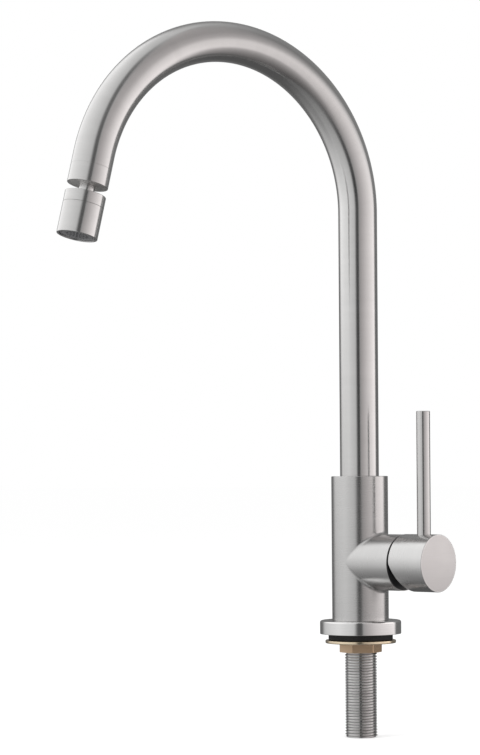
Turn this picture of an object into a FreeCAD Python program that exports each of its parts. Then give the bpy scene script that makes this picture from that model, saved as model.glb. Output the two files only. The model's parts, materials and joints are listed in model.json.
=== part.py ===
import FreeCAD, Part
import math
import os

# Single-inlet kitchen tap with a swivelling gooseneck spout, in millimetres.
# The origin is on the body's axis at the sink deck, +Z is up, and +X runs out along the lever's boss.

# Clearances
close_gap = 0.05  # between two pieces that stay together
running_gap = 0.06  # radial, between a turning piece and its bore
face_gap = 0.1  # axial, under a turning face
seam_gap = 0.15  # the line that shows where two shells meet
loose_gap = 0.3

# Base: gasket, flange and threaded shank
gasket_od = 41.5
gasket_t = 4.0
gasket_chamfer = 0.3
flange_od = 52.4
flange_t = 8.7
flange_round = 0.8
spigot_od = 30.0  # the body's foot inside the flange
spigot_reach = 7.7
thread_od = 20.955
thread_pitch = 1.814
thread_depth = 1.162
shank_below_deck = 62.7
shank_socket_depth = 17.0  # how far the shank screws up into the body
shank_bore = 14.0
shank_seal_t = 1.5

# Clamping hardware under the deck
washer_od = 45.6
washer_t = 2.0
washer_round = 0.7
nut_flats = 24.0
nut_t = 6.0
nut_ease = 0.45  # how far its corners are turned off
nut_flat_azimuth = 15.0

# Body barrel and the socket that the spout turns in
body_od = 36.5
body_height = 92.9
rim_chamfer = 0.3
socket_web = 5.85  # metal left between the cartridge's cavity and the spout's socket
thrust_ring_t = 1.4
glide_ring_t = 8.0
glide_ring_inset = 0.4
bush_od = 26.6
bush_wall = 4.3
tube_insertion = 14.7  # how far the spout tube goes down into the body
tube_overlap = 10.0  # the bush's spigot inside the spout tube
groove_width = 3.0
groove_depth = 1.6
groove_below_tube = 3.0
o_ring_section = 1.96
screw_od = 5.0
screw_tip_od = 2.6
grub_socket_share = 0.4  # how much of a headless screw's length its socket takes

# Boss on the body's side, and the waterways behind it
boss_od = 36.0
boss_reach = 36.0
boss_height = 37.6  # of the boss's axis above the flange
weld_round = 2.2
cavity_depth = 28.5
nut_recess_depth = 9.5
port_spacing = 7.2
port_od = 3.8
duct_od = 5.0
lower_chamber_height = 10.0

# Cartridge
cartridge_od = 25.4
seal_proud = 0.2
port_seal_t = 1.2
port_seal_wall = 1.1
base_t = 4.3
disc_gap = 0.02
fixed_disc_t = 3.0
moving_disc_t = 3.0
moving_disc_od = 14.8
disc_pocket_depth = 1.4
disc_carrier_t = 4.0
housing_wall = 2.4
housing_flange_t = 2.0
housing_flange_overlap = 1.45
cartridge_nut_od = 29.9
cartridge_nut_t = 6.5
cartridge_nut_wall = 3.0
nut_notch_count = 6
nut_notch_width = 4.0
nut_notch_depth = 3.0
trim_ring_t = 0.4
trim_ring_margin = 0.4
trim_lip_t = 1.0
drum_proud = 1.0
drum_groove_inset = 3.5
pivot_inset = 3.0  # of the lever's pivot behind the boss's end
pivot_pin_od = 3.0
lever_tilt = 24.0
stem_od = 7.6
stem_neck_od = 4.0
stem_tip_od = 5.0
stem_tip_inset = 1.5
stem_square = 8.0

# Lever
hub_od = 36.5
hub_gap = 1.5
hub_length = 26.7
hub_bevel = 24.7  # degrees, cut from the axis down so that the lever can tilt
hub_hollow_depth = 8.5
hub_wall = 3.75
hub_chamfer = 0.35
stem_socket_depth = 14.0
rod_od = 8.7
rod_from_hub_back = 14.7
rod_above_hub = 77.9
rod_seat_depth = 1.0
rod_thread_od = 6.0
rod_thread_length = 8.5
rod_chamfer = 0.4
hub_screw_od = 5.0
hub_screw_length = 8.0
plug_inset = 0.4

# Spout tube: a riser, one bend and a short straight tail
spout_od = 25.0
spout_wall = 1.2
spout_azimuth = 256.9
riser_length = 169.6
bend_radius = 101.2
bend_angle = 166.0
tail_length = 7.9
collar_length = 11.3
collar_spigot_length = 10.0
collar_floor_t = 2.5
collar_chamfer = 0.25

# Turning stem between the spout and the outlet head
neck_od = 9.65
neck_gap = 5.5
neck_bore = 5.2
stem_flange_od = 14.4
stem_flange_t = 2.4
stem_washer_t = 1.0
stem_sleeve_od = 11.0
stem_bush_length = 7.6
circlip_t = 1.0
circlip_grip = 0.8
ball_od = 16.0
ball_below_head_top = 5.2
ball_flat_depth = 6.0  # of the ball's cut-off underside below its centre
ball_seal_angle = 30.0  # of the ball's seal below the level of its centre

# Outlet head
head_od = 25.0
head_length = 26.3
cap_length = 7.1
cap_top_t = 1.6
cap_mouth_od = 15.0
head_wall = 1.5
spigot_wall = 1.4
seat_length = 9.6
seat_bore = 12.0
shoulder_t = 1.6
shoulder_bore = 16.0
aerator_washer_t = 1.2
aerator_wall = 1.5
aerator_inset = 0.8
jet_plate_t = 2.2
jet_count = 12
jet_od = 1.2
jet_circle_od = 11.4
grille_t = 1.4
grille_hole_od = 1.5
grille_pitch = 2.1
grille_rings = 3

# Places along the body's axis
flange_top_z = gasket_t + flange_t
body_top_z = flange_top_z + body_height
shank_top_z = flange_top_z - spigot_reach + shank_socket_depth
seal_top_z = shank_top_z + shank_seal_t
chamber_top_z = seal_top_z + lower_chamber_height
boss_z = flange_top_z + boss_height
tube_bottom_z = body_top_z - tube_insertion
groove_z = tube_bottom_z - groove_below_tube - groove_width / 2
spring_z = body_top_z + riser_length

# Radii that several pieces share
body_r = body_od / 2
crest_r = thread_od / 2
bush_r = bush_od / 2
socket_r = bush_r + running_gap
spout_r = spout_od / 2
spout_bore_r = spout_r - spout_wall
housing_r = cartridge_od / 2
cavity_r = housing_r + close_gap
nut_recess_r = cartridge_nut_od / 2 + close_gap
drum_bore_r = housing_r - housing_wall
drum_r = drum_bore_r - running_gap
port_y = port_spacing / 2

# Floor of the spout's socket, above the cartridge's cavity, and the bush that stands on it
socket_floor_z = boss_z + cavity_r + socket_web
bush_bottom_z = socket_floor_z + thrust_ring_t + face_gap

# Places out along the boss's axis, from the body's axis
cavity_floor_x = boss_reach - cavity_depth
base_x = cavity_floor_x + seal_proud
fixed_disc_x = base_x + base_t
moving_disc_x = fixed_disc_x + fixed_disc_t + disc_gap
disc_carrier_x = moving_disc_x + moving_disc_t
drum_x = disc_carrier_x + disc_carrier_t + loose_gap
nut_seat_x = boss_reach - nut_recess_depth
cartridge_nut_x = nut_seat_x + housing_flange_t
cartridge_top_x = cartridge_nut_x + cartridge_nut_t
drum_end_x = boss_reach + drum_proud
drum_groove_x = drum_x + drum_groove_inset
pivot_x = boss_reach - pivot_inset
stem_tip_x = drum_x - loose_gap - stem_tip_inset
tip_arm = pivot_x - stem_tip_x
disc_offset = tip_arm * math.sin(math.radians(lever_tilt)) / 2
hub_back_x = boss_reach + hub_gap
hub_end_x = hub_back_x + hub_length
hub_floor_x = hub_back_x + hub_hollow_depth
rod_x = hub_back_x + rod_from_hub_back

# Heights along the outlet's own axis, from the spout's open end, minus being outwards
collar_top_h = collar_length
chamber_r = stem_flange_od / 2 + loose_gap  # of the room inside the collar
stem_flange_h = collar_floor_t + stem_washer_t + face_gap
stem_bush_h = stem_flange_h + stem_flange_t + face_gap
circlip_h = stem_bush_h + stem_bush_length
head_top_h = -neck_gap
ball_h = head_top_h - ball_below_head_top
cap_end_h = head_top_h - cap_length
head_end_h = head_top_h - head_length
seat_top_h = head_top_h - cap_top_t
seat_end_h = seat_top_h - seat_length
shoulder_end_h = seat_end_h - shoulder_t
aerator_top_h = shoulder_end_h - aerator_washer_t
aerator_end_h = head_end_h + aerator_inset
aerator_r = head_od / 2 - head_wall - close_gap
jet_plate_h = aerator_top_h - jet_plate_t
seat_r = head_od / 2 - head_wall - close_gap - spigot_wall
UP = FreeCAD.Vector(0, 0, 1)


def boss_place():
    """Maps a shape turned about its own Z onto the boss's axis, with its own X upwards."""
    own_x, own_y, own_z = UP, FreeCAD.Vector(0, -1, 0), FreeCAD.Vector(1, 0, 0)
    return FreeCAD.Placement(FreeCAD.Vector(0, 0, boss_z), FreeCAD.Rotation(own_x, own_y, own_z, "XYZ"))


def spout_place():
    """Maps the spout's own plane, where it leans out along X, to where the spout points at rest."""
    return FreeCAD.Placement(FreeCAD.Vector(), FreeCAD.Rotation(UP, spout_azimuth))


def outlet_place():
    """Maps the outlet's own axis, open end at the origin and outwards down, to the spout's end."""
    turn = math.radians(bend_angle)
    reach = bend_radius * (1 - math.cos(turn)) + (tail_length + collar_length) * math.sin(turn)
    height = spring_z + bend_radius * math.sin(turn) + (tail_length + collar_length) * math.cos(turn)
    lean = FreeCAD.Rotation(FreeCAD.Vector(0, 1, 0), bend_angle - 180)
    return spout_place() * FreeCAD.Placement(FreeCAD.Vector(reach, 0, height), lean)


def placed(shape, placement):
    moved = shape.copy()
    moved.Placement = placement * moved.Placement
    return moved


def turned(profile):
    """A solid of revolution about Z from (radius, height) corners."""
    points = [FreeCAD.Vector(r, 0, h) for r, h in profile]
    face = Part.Face(Part.makePolygon(points + points[:1]))
    return face.revolve(FreeCAD.Vector(), UP, 360)


def rod(radius, low, high, x=0.0, y=0.0):
    return Part.makeCylinder(radius, high - low, FreeCAD.Vector(x, y, low))


def ring(outer_r, inner_r, low, high):
    return turned([(inner_r, low), (outer_r, low), (outer_r, high), (inner_r, high)])


def o_ring(outer_r, height):
    """A seal that stands level with a shaft's surface."""
    return Part.makeTorus(outer_r - o_ring_section / 2, o_ring_section / 2, FreeCAD.Vector(0, 0, height))


def o_ring_groove(shaft_r, height):
    """What is cut from a shaft to take its seal."""
    half = o_ring_section / 2 + close_gap
    return ring(2 * shaft_r, shaft_r - o_ring_section - close_gap, height - half, height + half)


def block(size_x, size_y, low, high, x=0.0, y=0.0):
    corner = FreeCAD.Vector(x - size_x / 2, y - size_y / 2, low)
    return Part.makeBox(size_x, size_y, high - low, corner)


def rims(shape, radius):
    """The round edges of a shape that have this radius."""
    circles = [e for e in shape.Edges if isinstance(e.Curve, Part.Circle)]
    return [e for e in circles if abs(e.Curve.Radius - radius) < close_gap / 2]


def hexagon(flats, low, high, flat_azimuth=0.0):
    """A hexagonal bar with one flat facing flat_azimuth degrees."""
    corner_r = flats / math.sqrt(3)
    angles = [math.radians(flat_azimuth + 30 + 60 * i) for i in range(6)]
    points = [FreeCAD.Vector(corner_r * math.cos(a), corner_r * math.sin(a), low) for a in angles]
    return Part.Face(Part.makePolygon(points + points[:1])).extrude(UP * (high - low))


def grub_screw(diameter, low, high, tip_od=0.0, tip_length=0.0):
    """A headless screw along Z with a hexagon socket at its low end and a plain tip at its high end."""
    body = rod(diameter / 2, low, high - tip_length)
    if tip_length:
        body = body.fuse(rod(tip_od / 2, high - tip_length, high))
    socket_depth = (high - low) * grub_socket_share
    return body.cut(hexagon(diameter / 2, low, low + socket_depth))


# Base


def deck_gasket():
    outer = gasket_od / 2
    inner = crest_r + loose_gap
    return turned([
        (inner, 0), (outer - gasket_chamfer, 0), (outer, gasket_chamfer),
        (outer, gasket_t - gasket_chamfer), (outer - gasket_chamfer, gasket_t), (inner, gasket_t),
    ])


def base_flange():
    plate = ring(flange_od / 2, spigot_od / 2 + close_gap, gasket_t, flange_top_z)
    return plate.makeFillet(flange_round, rims(plate, flange_od / 2))


def threaded_shank():
    """A tube with closed rings at the thread's pitch, each with a flat crest and sloping flanks."""
    root_r = crest_r - thread_depth
    flank = thread_pitch / 3
    crest = thread_pitch / 6
    profile = [(shank_bore / 2, -shank_below_deck), (root_r, -shank_below_deck)]
    count = int((shank_below_deck + shank_top_z) / thread_pitch)
    for i in range(count):
        low = -shank_below_deck + i * thread_pitch + crest / 2
        high = low + 2 * flank + crest
        profile += [(root_r, low), (crest_r, low + flank), (crest_r, high - flank), (root_r, high)]
    profile += [(root_r, shank_top_z), (shank_bore / 2, shank_top_z)]
    return turned(profile)


def shank_seal():
    return ring(crest_r - close_gap, shank_bore / 2, shank_top_z, seal_top_z)


def clamp_washer():
    plate = ring(washer_od / 2, crest_r + loose_gap, -washer_t, 0)
    return plate.makeFillet(washer_round, rims(plate, washer_od / 2))


def lock_nut():
    low = -washer_t - nut_t
    corner_r = nut_flats / math.sqrt(3)
    easing = turned([
        (0, low), (corner_r - nut_ease, low), (corner_r, low + nut_ease),
        (corner_r, -washer_t - nut_ease), (corner_r - nut_ease, -washer_t), (0, -washer_t),
    ])
    bar = hexagon(nut_flats, low, -washer_t, nut_flat_azimuth)
    return bar.common(easing).cut(rod(crest_r + running_gap, low, -washer_t))


# Body


def body_outside():
    """The barrel and its foot, with the boss run into it and the joint rounded over."""
    foot_r = spigot_od / 2
    foot_z = flange_top_z - spigot_reach
    barrel = turned([
        (0, foot_z), (foot_r, foot_z), (foot_r, flange_top_z), (body_r - rim_chamfer, flange_top_z),
        (body_r, flange_top_z + rim_chamfer), (body_r, body_top_z - rim_chamfer),
        (body_r - rim_chamfer, body_top_z), (0, body_top_z),
    ])
    boss = placed(rod(boss_od / 2, 0, boss_reach), boss_place())
    outside = barrel.fuse(boss)
    joint = [e for e in outside.Edges if boss_z - boss_od < e.CenterOfMass.z < boss_z + boss_od
             and 0 < e.CenterOfMass.x < body_r and not isinstance(e.Curve, (Part.Line, Part.Circle))]
    return outside.makeFillet(weld_round, joint)


def beside_ports(shape):
    """Two copies of a shape on the boss's own Z, one on each of the cartridge's ports."""
    places = [FreeCAD.Placement(FreeCAD.Vector(0, y, 0), FreeCAD.Rotation()) for y in (-port_y, port_y)]
    return [placed(shape, place) for place in places]


def waterways():
    """The lower chamber, and one duct down from each side of the cartridge's two ports."""
    half_port = port_od / 2 + loose_gap
    half_duct = duct_od / 2
    chamber = rod(shank_bore / 2, seal_top_z, chamber_top_z)
    inlet = rod(half_duct, chamber_top_z - half_duct, boss_z, y=-port_y)
    outlet = rod(half_duct, boss_z, socket_floor_z + half_duct, y=port_y)
    cross = rod(half_port, -half_duct / 2, cavity_floor_x)
    return [chamber, inlet, outlet] + [placed(hole, boss_place()) for hole in beside_ports(cross)]


def body_shell():
    shank_hole = rod(crest_r + close_gap, flange_top_z - spigot_reach, seal_top_z)
    spout_socket = rod(socket_r, socket_floor_z, body_top_z)
    cavity = placed(rod(cavity_r, cavity_floor_x, boss_reach), boss_place())
    nut_recess = placed(rod(nut_recess_r, nut_seat_x, boss_reach), boss_place())
    screw_hole = placed(rod(screw_od / 2 + close_gap, 0, body_r), screw_place())
    return body_outside().cut([shank_hole, spout_socket, cavity, nut_recess, screw_hole] + waterways())


# Spout socket


def screw_place():
    """Maps a screw along Z to the body's back at the height of the bush's groove, pointing outwards."""
    turn = FreeCAD.Rotation(FreeCAD.Vector(1, 0, 0), -90)
    return FreeCAD.Placement(FreeCAD.Vector(0, 0, groove_z), turn)


def retaining_screw():
    tip_r = bush_r - groove_depth + loose_gap
    length = body_r - loose_gap - tip_r
    tip_length = socket_r + loose_gap - tip_r
    screw = grub_screw(screw_od, -tip_r - length, -tip_r, screw_tip_od, tip_length)
    flip = FreeCAD.Placement(FreeCAD.Vector(), FreeCAD.Rotation(FreeCAD.Vector(1, 0, 0), 180))
    return placed(placed(screw, flip), screw_place())


def thrust_ring():
    inner_r = bush_r - bush_wall + loose_gap
    return ring(socket_r - close_gap, inner_r, socket_floor_z, socket_floor_z + thrust_ring_t)


def upper_glide_ring():
    top = body_top_z - glide_ring_inset
    return ring(socket_r - close_gap, spout_r + running_gap, top - glide_ring_t, top)


def bush_o_ring_heights():
    """Two seals, spread over what is left of the bush below the screw's groove."""
    high = groove_z - groove_width / 2
    spacing = (high - bush_bottom_z) / 2
    return [high - spacing / 2, high - spacing * 3 / 2]


def spout_bush():
    """A sleeve with a spigot up the tube, one groove for the screw's tip and two for O-rings."""
    bore_r = bush_r - bush_wall
    sleeve = ring(bush_r, bore_r, bush_bottom_z, tube_bottom_z)
    spigot = ring(spout_bore_r - close_gap, bore_r, tube_bottom_z, tube_bottom_z + tube_overlap)
    low = groove_z - groove_width / 2
    screw_groove = ring(body_r, bush_r - groove_depth, low, low + groove_width)
    grooves = [o_ring_groove(bush_r, z) for z in bush_o_ring_heights()]
    return placed(sleeve.fuse(spigot).cut([screw_groove] + grooves), spout_place())


def spout_o_rings():
    return Part.makeCompound([o_ring(bush_r, z) for z in bush_o_ring_heights()])


# Spout


def spout_tube():
    """A straight riser, a bend about a level axis and a straight tail, all of one section."""
    riser = ring(spout_r, spout_bore_r, tube_bottom_z, spring_z)
    section = Part.Face([
        Part.Wire(Part.makeCircle(spout_r, FreeCAD.Vector(0, 0, spring_z), UP)),
        Part.Wire(Part.makeCircle(spout_bore_r, FreeCAD.Vector(0, 0, spring_z), UP)),
    ])
    bend = section.revolve(FreeCAD.Vector(bend_radius, 0, spring_z), FreeCAD.Vector(0, 1, 0), bend_angle)
    upright = placed(riser.fuse(bend), spout_place())
    tail = placed(ring(spout_r, spout_bore_r, collar_top_h, collar_top_h + tail_length), outlet_place())
    return upright.fuse(tail).removeSplitter()


def outlet_collar():
    """The spout's end piece: a cup whose floor has the stem's hole, with a spigot up the tube."""
    spigot_r = spout_bore_r - close_gap
    top = collar_top_h + collar_spigot_length
    cup = turned([
        (neck_od / 2 + running_gap, 0), (spout_r - collar_chamfer, 0), (spout_r, collar_chamfer),
        (spout_r, collar_top_h), (spigot_r, collar_top_h), (spigot_r, top),
        (chamber_r, top), (chamber_r, collar_floor_t), (neck_od / 2 + running_gap, collar_floor_t),
    ])
    clip_room_r = chamber_r + circlip_grip + close_gap
    clip_groove = rod(clip_room_r, circlip_h - close_gap, circlip_h + circlip_t + close_gap)
    return placed(cup.cut(clip_groove), outlet_place())


def stem_washer():
    top = collar_floor_t + stem_washer_t
    return placed(ring(stem_flange_od / 2, neck_od / 2 + loose_gap, collar_floor_t, top), outlet_place())


def stem_bush():
    inner_r = stem_sleeve_od / 2 + running_gap
    return placed(ring(chamber_r - close_gap, inner_r, stem_bush_h, circlip_h - close_gap), outlet_place())


def stem_circlip():
    """A spring ring with a gap, sprung into the collar's groove above the bush."""
    outer_r = chamber_r + circlip_grip
    clip = ring(outer_r, outer_r - 2 * circlip_grip, circlip_h, circlip_h + circlip_t)
    gap = block(2 * outer_r, 2 * circlip_t, circlip_h, circlip_h + circlip_t, x=outer_r)
    return placed(clip.cut(gap), outlet_place())


def stem_o_ring_h():
    return stem_bush_h + stem_bush_length / 2


def swivel_stem():
    """A hollow stem: ball below, neck through the collar's floor, flange and sleeve inside the collar."""
    neck_r, flange_r, sleeve_r = neck_od / 2, stem_flange_od / 2, stem_sleeve_od / 2
    sleeve_top = circlip_h + circlip_t
    flange_top = stem_flange_h + stem_flange_t
    core = turned([
        (0, ball_h), (neck_r, ball_h), (neck_r, stem_flange_h), (flange_r, stem_flange_h),
        (flange_r, flange_top), (sleeve_r, flange_top), (sleeve_r, sleeve_top), (0, sleeve_top),
    ])
    ball = Part.makeSphere(ball_od / 2, FreeCAD.Vector(0, 0, ball_h))
    flat = rod(ball_od, ball_h - ball_od, ball_h - ball_flat_depth)
    bore = rod(neck_bore / 2, ball_h - ball_od, sleeve_top)
    groove = o_ring_groove(sleeve_r, stem_o_ring_h())
    return placed(core.fuse(ball).cut([flat, groove, bore]), outlet_place())


def stem_o_ring():
    return placed(o_ring(stem_sleeve_od / 2, stem_o_ring_h()), outlet_place())


# Outlet head


def head_cap():
    """The head's top ring, with a mouth that lets the neck lean."""
    outer, mouth_r = head_od / 2, cap_mouth_od / 2
    bore_r = outer - head_wall
    end = cap_end_h + seam_gap / 2
    cap = turned([
        (mouth_r, head_top_h), (outer - collar_chamfer, head_top_h), (outer, head_top_h - collar_chamfer),
        (outer, end + seam_gap), (outer - seam_gap, end), (bore_r, end),
        (bore_r, seat_top_h), (mouth_r, seat_top_h),
    ])
    return placed(cap, outlet_place())


def head_shell():
    """The head's barrel: a spigot up into the cap, a shoulder for the ball's seat, the aerator's room."""
    outer = head_od / 2
    spigot_r = outer - head_wall - close_gap
    start = cap_end_h - seam_gap / 2
    room_r = aerator_r + close_gap
    shell = turned([
        (seat_r, seat_top_h - loose_gap), (spigot_r, seat_top_h - loose_gap), (spigot_r, start),
        (outer - seam_gap, start), (outer, start - seam_gap), (outer, head_end_h + collar_chamfer),
        (outer - collar_chamfer, head_end_h), (room_r, head_end_h), (room_r, shoulder_end_h),
        (shoulder_bore / 2, shoulder_end_h), (shoulder_bore / 2, seat_end_h), (seat_r, seat_end_h),
    ])
    return placed(shell, outlet_place())


def ball_room():
    return Part.makeSphere(ball_od / 2 + running_gap, FreeCAD.Vector(0, 0, ball_h))


def upper_seat():
    """The ring that holds the ball down, open above for the leaning neck."""
    blank = ring(seat_r - close_gap, cap_mouth_od / 2, ball_h + seam_gap, seat_top_h)
    return placed(blank.cut(ball_room()), outlet_place())


def ball_o_ring_place():
    """Radius and height of the seal under the ball, just clear of the ball's surface."""
    reach = ball_od / 2 + o_ring_section / 2 + running_gap
    lean = math.radians(ball_seal_angle)
    return reach * math.cos(lean), ball_h - reach * math.sin(lean)


def lower_seat():
    """The ring that the ball bears on, with a groove for its seal."""
    centre_r, height = ball_o_ring_place()
    blank = ring(seat_r - close_gap, seat_bore / 2, seat_end_h, ball_h - seam_gap)
    groove = Part.makeTorus(centre_r, o_ring_section / 2 + close_gap, FreeCAD.Vector(0, 0, height))
    return placed(blank.cut([ball_room(), groove]), outlet_place())


def ball_o_ring():
    centre_r, height = ball_o_ring_place()
    return placed(o_ring(centre_r + o_ring_section / 2, height), outlet_place())


def aerator_washer():
    flat = ring(aerator_r, shoulder_bore / 2, aerator_top_h, shoulder_end_h)
    return placed(flat, outlet_place())


def jet_plate():
    """A disc with a ring of fine jets that break the water up."""
    plate = rod(aerator_r - aerator_wall - close_gap, jet_plate_h, aerator_top_h)
    jets = []
    for i in range(jet_count):
        angle = 2 * math.pi * i / jet_count
        x, y = jet_circle_od / 2 * math.cos(angle), jet_circle_od / 2 * math.sin(angle)
        jets.append(rod(jet_od / 2, jet_plate_h, aerator_top_h, x, y))
    return placed(plate.cut(jets), outlet_place())


def aerator_housing():
    """A sleeve around the jet plate and grille, with a step under the plate."""
    inner_r = aerator_r - aerator_wall
    step_r = inner_r - aerator_wall
    step_h = jet_plate_h - aerator_wall
    sleeve = turned([
        (inner_r, aerator_end_h), (aerator_r, aerator_end_h), (aerator_r, aerator_top_h),
        (inner_r, aerator_top_h), (inner_r, jet_plate_h), (step_r, jet_plate_h), (step_r, step_h),
        (inner_r, step_h),
    ])
    return placed(sleeve, outlet_place())


def outlet_grille():
    """A disc with round holes in rings of six, twelve and so on about a middle one."""
    low = aerator_end_h
    high = aerator_end_h + grille_t
    plate = rod(aerator_r - aerator_wall - close_gap, low, high)
    holes = [rod(grille_hole_od / 2, low, high)]
    for row in range(1, grille_rings + 1):
        for i in range(6 * row):
            angle = 2 * math.pi * i / (6 * row)
            x, y = row * grille_pitch * math.cos(angle), row * grille_pitch * math.sin(angle)
            holes.append(rod(grille_hole_od / 2, low, high, x, y))
    return placed(plate.cut(holes), outlet_place())


# Cartridge


def port_seals():
    """Two small rings between the cartridge's base and the floor of the boss's cavity."""
    inner_r = port_od / 2 + close_gap
    seal = ring(inner_r + port_seal_wall, inner_r, cavity_floor_x, cavity_floor_x + port_seal_t)
    return placed(Part.makeCompound(beside_ports(seal)), boss_place())


def cartridge_base():
    seal_r = port_od / 2 + port_seal_wall + 2 * close_gap
    base = rod(housing_r, base_x, fixed_disc_x)
    port = rod(port_od / 2, base_x, fixed_disc_x)
    seal_room = rod(seal_r, base_x, cavity_floor_x + port_seal_t)
    return placed(base.cut(beside_ports(port) + beside_ports(seal_room)), boss_place())


def fixed_disc():
    disc = rod(drum_bore_r - close_gap, fixed_disc_x, fixed_disc_x + fixed_disc_t)
    port = rod(port_od / 2, fixed_disc_x, fixed_disc_x + fixed_disc_t)
    return placed(disc.cut(beside_ports(port)), boss_place())


def moving_disc():
    """Closed at rest: its pocket sits below the ports, and rises over both as the lever tilts."""
    disc = rod(moving_disc_od / 2, moving_disc_x, disc_carrier_x, x=-disc_offset)
    pocket_x = -2 * disc_offset
    low, high = moving_disc_x, moving_disc_x + disc_pocket_depth
    middle = block(port_od, port_spacing, low, high, x=pocket_x)
    ends = beside_ports(rod(port_od / 2, low, high, x=pocket_x))
    return placed(disc.cut([middle] + ends), boss_place())


def disc_carrier():
    """Sits on the moving disc and takes the ball tip of the stem in a square pocket."""
    high = disc_carrier_x + disc_carrier_t
    pocket_side = stem_tip_od + 2 * (close_gap + seam_gap)
    plate = rod(moving_disc_od / 2, disc_carrier_x, high, x=-disc_offset)
    pocket = block(pocket_side, pocket_side, stem_tip_x - pocket_side / 2, high)
    return placed(plate.cut(pocket), boss_place())


def cartridge_housing():
    """The cartridge's sleeve, with the flange that its nut holds down."""
    flange_r = housing_r + housing_flange_overlap
    top = cartridge_top_x + close_gap
    neck_r = cartridge_nut_od / 2 - cartridge_nut_wall - close_gap
    sleeve = turned([
        (drum_bore_r, fixed_disc_x), (housing_r, fixed_disc_x), (housing_r, nut_seat_x),
        (flange_r, nut_seat_x), (flange_r, cartridge_nut_x), (neck_r, cartridge_nut_x),
        (neck_r, top), (drum_bore_r, top),
    ])
    return placed(sleeve, boss_place())


def cartridge_nut():
    """A ring nut with notches for a pin spanner."""
    outer_r = cartridge_nut_od / 2
    inner_r = outer_r - cartridge_nut_wall
    nut = ring(outer_r, inner_r, cartridge_nut_x, cartridge_top_x)
    notch_start = (outer_r + inner_r) / 2
    notch_low = cartridge_top_x - nut_notch_depth
    notch = block(outer_r, nut_notch_width, notch_low, cartridge_top_x, x=notch_start + outer_r / 2)
    turns = [360 / nut_notch_count * i for i in range(nut_notch_count)]
    notches = [placed(notch, FreeCAD.Placement(FreeCAD.Vector(), FreeCAD.Rotation(UP, t))) for t in turns]
    return placed(nut.cut(notches), boss_place())


def boss_trim_ring():
    """The black ring on the boss's end, with a lip down inside the nut's recess."""
    lip_r = cartridge_nut_od / 2
    lip_start = cartridge_top_x + loose_gap
    outer_r, inner_r = boss_od / 2 - trim_ring_margin, drum_r + loose_gap
    top = boss_reach + trim_ring_t
    trim = turned([
        (lip_r - trim_lip_t, lip_start), (lip_r, lip_start), (lip_r, boss_reach), (outer_r, boss_reach),
        (outer_r, top), (inner_r, top), (inner_r, boss_reach), (lip_r - trim_lip_t, boss_reach),
    ])
    return placed(trim, boss_place())


def stem_carrier():
    """The drum that turns in the cartridge and carries the stem's pivot pin across a slot."""
    drum = rod(drum_r, drum_x, drum_end_x)
    half = stem_od / 2
    swing = (pivot_x - drum_x) * math.sin(math.radians(lever_tilt))
    swing_out = (drum_end_x - pivot_x) * math.sin(math.radians(lever_tilt))
    low, high = -half - swing_out - 2 * loose_gap, half + swing + loose_gap
    slot = block(high - low, stem_od + 2 * loose_gap, drum_x, drum_end_x, x=(high + low) / 2)
    pin_hole = cross_pin(pivot_pin_od / 2 + close_gap / 2, drum_r)
    return placed(drum.cut([slot, pin_hole, o_ring_groove(drum_r, drum_groove_x)]), boss_place())


def cross_pin(radius, half_length):
    """A pin across the boss's axis at the lever's pivot, still on the boss's own Z."""
    start = FreeCAD.Vector(0, -half_length, pivot_x)
    return Part.makeCylinder(radius, 2 * half_length, start, FreeCAD.Vector(0, 1, 0))


def pivot_pin():
    return placed(cross_pin(pivot_pin_od / 2, drum_r - 2 * loose_gap), boss_place())


def carrier_o_ring():
    return placed(o_ring(drum_r, drum_groove_x), boss_place())


def cartridge_stem():
    """A round stem with a ball tip inwards and a square end outwards, crossed by the pivot's hole."""
    neck_end_x = drum_x + stem_tip_od / 2
    shaft_x = neck_end_x + (stem_od - stem_neck_od) / 2
    shaft_end_x = hub_floor_x + close_gap
    core = turned([
        (0, stem_tip_x), (stem_neck_od / 2, stem_tip_x), (stem_neck_od / 2, neck_end_x),
        (stem_od / 2, shaft_x), (stem_od / 2, shaft_end_x), (0, shaft_end_x),
    ])
    tip = Part.makeSphere(stem_tip_od / 2, FreeCAD.Vector(0, 0, stem_tip_x))
    square_end_x = hub_floor_x + stem_socket_depth - loose_gap
    square = block(stem_square, stem_square, shaft_end_x, square_end_x)
    bore = cross_pin(pivot_pin_od / 2 + running_gap, stem_od)
    return placed(core.fuse([tip, square]).cut(bore), boss_place())


# Lever


def lever_hub():
    """A deep cup over the cartridge, solid at its outer end around the stem's socket and the rod's hole."""
    hub_r = hub_od / 2
    hollow_r = hub_r - hub_wall
    cup = turned([
        (0, hub_back_x), (hub_r, hub_back_x), (hub_r, hub_end_x - hub_chamfer),
        (hub_r - hub_chamfer, hub_end_x), (0, hub_end_x),
    ])
    hollow = rod(hollow_r, hub_back_x, hub_floor_x)
    socket_side = stem_square + 2 * close_gap
    socket = block(socket_side, socket_side, hub_floor_x, hub_floor_x + stem_socket_depth)
    seat_up = hub_r - rod_seat_depth
    rod_hole = upright_rod(rod_thread_od / 2 + close_gap, seat_up - rod_thread_length - loose_gap, hub_r)
    rod_seat = upright_rod(rod_od / 2 + close_gap, seat_up, hub_r + rod_od)
    screw_hole = upright_rod(hub_screw_od / 2 + close_gap, -hub_r, 0)
    cuts = [hollow, hub_bevel_wedge(), socket, rod_hole, rod_seat, screw_hole]
    return placed(cup.cut(cuts), boss_place())


def hub_bevel_wedge():
    """What is cut off the back of the hub's lower half."""
    drop = hub_od
    depth = drop * math.tan(math.radians(hub_bevel))
    corners = [(0, hub_back_x), (-drop, hub_back_x), (-drop, hub_back_x + depth)]
    points = [FreeCAD.Vector(up, -hub_od, x) for up, x in corners]
    return Part.Face(Part.makePolygon(points + points[:1])).extrude(FreeCAD.Vector(0, 2 * hub_od, 0))


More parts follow.
